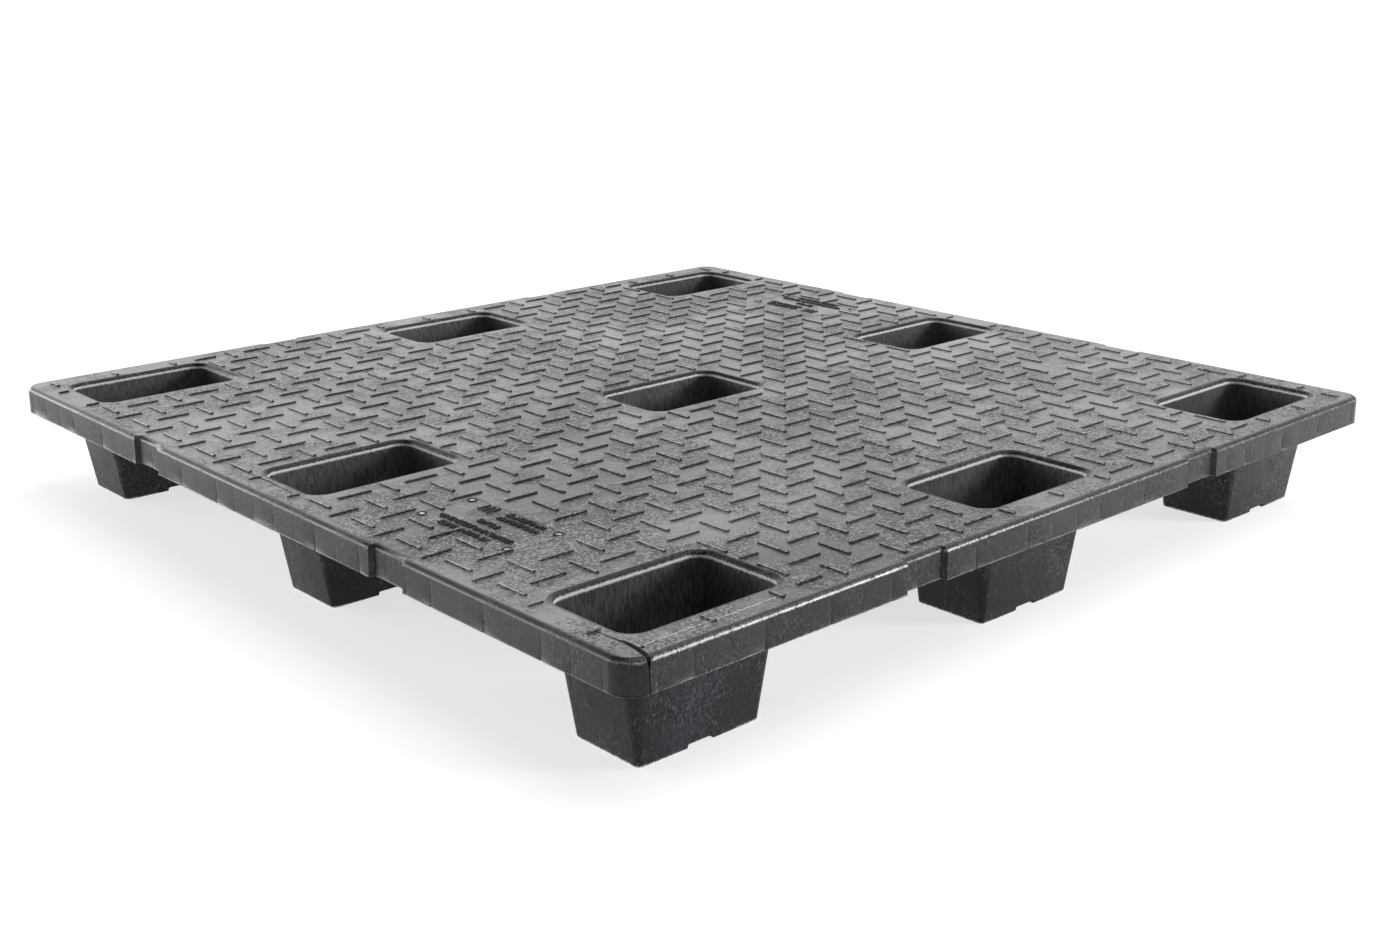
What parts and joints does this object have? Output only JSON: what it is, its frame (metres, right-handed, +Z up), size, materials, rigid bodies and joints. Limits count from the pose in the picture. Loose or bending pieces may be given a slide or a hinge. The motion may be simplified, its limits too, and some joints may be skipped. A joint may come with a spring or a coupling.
{
  "type": "plastic pallet",
  "caption": "Square nestable plastic pallet with a closed anti-slip deck and hollow tapered legs, entered by forks from all sides.",
  "frame": {"origin": "on the floor, under the middle of the square deck", "axes": "+Z up out of the deck, +X along the long side of the leg mouths, +Y along their short side"},
  "size_m": [1.219, 1.219, 0.136],
  "materials": {
    "deck_plastic": "dark grey recycled polyolefin, fine mottled grain with pale scuffs and broad soft reflections",
    "rim_plastic": "dark grey recycled polyolefin, satin, with faint vertical sink lines and worn pale edges",
    "leg_plastic": "near-black recycled polyolefin, satin, with flow swirls and fine pale flecks",
    "rib_plastic": "near-black recycled polyolefin, matt, as moulded"
  },
  "bodies": {
    "root": {"deck_plate": "deck_plastic", "rim_front": "rim_plastic", "rim_right": "rim_plastic", "rim_back": "rim_plastic", "rim_left": "rim_plastic", "corner_front_right": "rim_plastic", "corner_back_right": "rim_plastic", "corner_back_left": "rim_plastic", "corner_front_left": "rim_plastic", "leg_front_left": "leg_plastic", "leg_front_centre": "leg_plastic", "leg_front_right": "leg_plastic", "leg_middle_left": "leg_plastic", "leg_middle_centre": "leg_plastic", "leg_middle_right": "leg_plastic", "leg_back_left": "leg_plastic", "leg_back_centre": "leg_plastic", "leg_back_right": "leg_plastic", "ribs_front_lane": "rib_plastic", "ribs_back_lane": "rib_plastic", "ribs_front_left": "rib_plastic", "ribs_front_right": "rib_plastic", "ribs_middle_left": "rib_plastic", "ribs_middle_right": "rib_plastic", "ribs_back_left": "rib_plastic", "ribs_back_right": "rib_plastic"}
  },
  "joints": []
}
